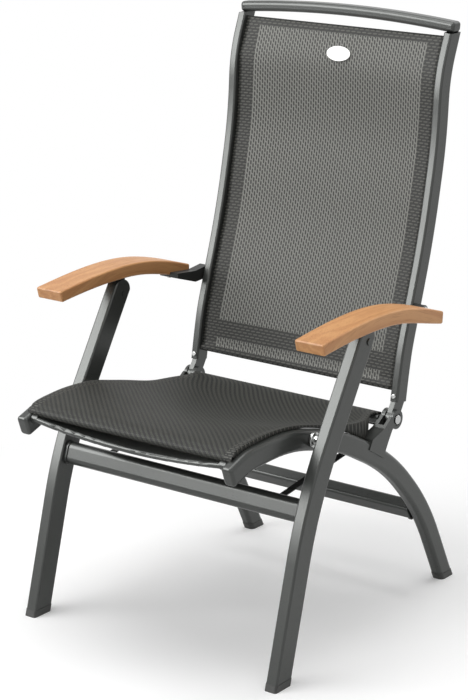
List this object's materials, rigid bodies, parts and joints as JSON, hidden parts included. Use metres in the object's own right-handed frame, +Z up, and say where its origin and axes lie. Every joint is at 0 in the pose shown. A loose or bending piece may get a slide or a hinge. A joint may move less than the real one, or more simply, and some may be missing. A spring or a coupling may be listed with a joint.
{
  "type": "reclining folding garden armchair",
  "caption": "Folding, reclining high-back garden armchair with an aluminium tube frame, stretched woven slings and curved wooden armrests.",
  "frame": {"origin": "on the floor, under the middle of the chair at rest", "axes": "+Z up, the sitter faces -Y, +X to the sitter's left"},
  "size_m": [0.638, 0.7196, 1.091],
  "materials": {
    "frame_coating": "satin anthracite powder coat on aluminium",
    "plastic": "fine moulded texture",
    "fastener": "polished stainless steel",
    "rail": "mill finish",
    "teak": "sanded, lightly oiled",
    "seat_weave": "coarse plastic-coated yarn",
    "back_weave": "open plastic-coated yarn",
    "webbing": "woven strap",
    "badge": "plain white, bare"
  },
  "bodies": {
    "side_frames": {"side_frame_right": "frame_coating", "side_frame_left": "frame_coating", "side_frame_tip_cap_right": "frame_coating", "side_frame_tip_cap_left": "frame_coating", "rear_foot_glide_right": "plastic", "rear_foot_glide_left": "plastic", "back_bracket_right": "frame_coating", "back_bracket_left": "frame_coating", "crossing_bolt_right": "fastener", "crossing_bolt_left": "fastener", "crossing_spacer_right": "fastener", "crossing_spacer_left": "fastener", "strap_stud_right": "frame_coating", "strap_stud_left": "frame_coating", "limit_strap_right": "webbing", "limit_strap_left": "webbing", "rear_stretcher": "frame_coating", "front_seat_bar": "frame_coating", "seat_front_rod": "rail", "rear_seat_tube": "frame_coating", "seat_sling": "seat_weave"},
    "front_legs": {"front_leg_right": "frame_coating", "front_leg_left": "frame_coating", "front_foot_glide_right": "plastic", "front_foot_glide_left": "plastic", "leg_cap_right": "frame_coating", "leg_cap_left": "frame_coating", "front_cross_bar": "frame_coating"},
    "leg_pins": {"leg_pin_right": "fastener", "leg_pin_left": "fastener"},
    "sliders": {"slider_right": "plastic", "slider_left": "plastic"},
    "back_bolts": {"back_bolt_right": "fastener", "back_bolt_left": "fastener"},
    "backrest": {"back_tube_right": "frame_coating", "back_tube_left": "frame_coating", "back_lug_right": "frame_coating", "back_lug_left": "frame_coating", "arm_pivot_insert_right": "fastener", "arm_pivot_insert_left": "fastener", "back_handle": "frame_coating", "handle_end_caps": "frame_coating", "back_hem_rod": "rail", "back_sling": "back_weave", "back_badge": "badge", "lug_screws": "fastener"},
    "arm_bolts": {"arm_bolt_right": "fastener", "arm_bolt_left": "fastener"},
    "arms": {"armrest_right": "teak", "armrest_left": "teak", "arm_rail_right": "rail", "arm_rail_left": "rail", "arm_hinge_right": "plastic", "arm_hinge_left": "plastic", "arm_screws": "fastener"}
  },
  "joints": [
    {"name": "fold", "type": "hinge", "parent": "side_frames", "child": "front_legs", "pos_m": [0, -0.12593, 0.40498], "axis": [1, 0, 0], "range_deg": [0, 70], "deforming": ["limit_strap_right", "limit_strap_left"]},
    {"name": "back_fold", "type": "hinge", "parent": "side_frames", "child": "back_bolts", "pos_m": [0, 0.14105, 0.37203], "axis": [1, 0, 0], "range_deg": [0, 82.5]},
    {"name": "recline", "type": "hinge", "parent": "back_bolts", "child": "backrest", "pos_m": [0, 0.14105, 0.37203], "axis": [1, 0, 0], "range_deg": [-27, 0]},
    {"name": "arm_fold", "type": "hinge", "parent": "backrest", "child": "arm_bolts", "pos_m": [0, 0.19814, 0.56699], "axis": [1, 0, 0], "range_deg": [-115, 0]},
    {"name": "arm_recline", "type": "hinge", "parent": "arm_bolts", "child": "arms", "pos_m": [0, 0.19814, 0.56699], "axis": [1, 0, 0], "range_deg": [0, 19]},
    {"name": "pin_fold", "type": "hinge", "parent": "front_legs", "child": "leg_pins", "pos_m": [0, -0.02592, 0.56601], "axis": [1, 0, 0], "range_deg": [-100, 0]},
    {"name": "slider_tilt", "type": "hinge", "parent": "leg_pins", "child": "sliders", "pos_m": [0, -0.02592, 0.56601], "axis": [1, 0, 0], "range_deg": [-9.5, 0]}
  ],
  "couplings": [
    {"joint": "back_fold", "follows": "fold", "ratio": 1.1714},
    {"joint": "arm_fold", "follows": "fold", "ratio": -1.5557},
    {"joint": "pin_fold", "follows": "fold", "ratio": -1.3843},
    {"joint": "arm_recline", "follows": "recline", "ratio": -0.6733},
    {"joint": "slider_tilt", "follows": "recline", "ratio": 0.3267}
  ]
}
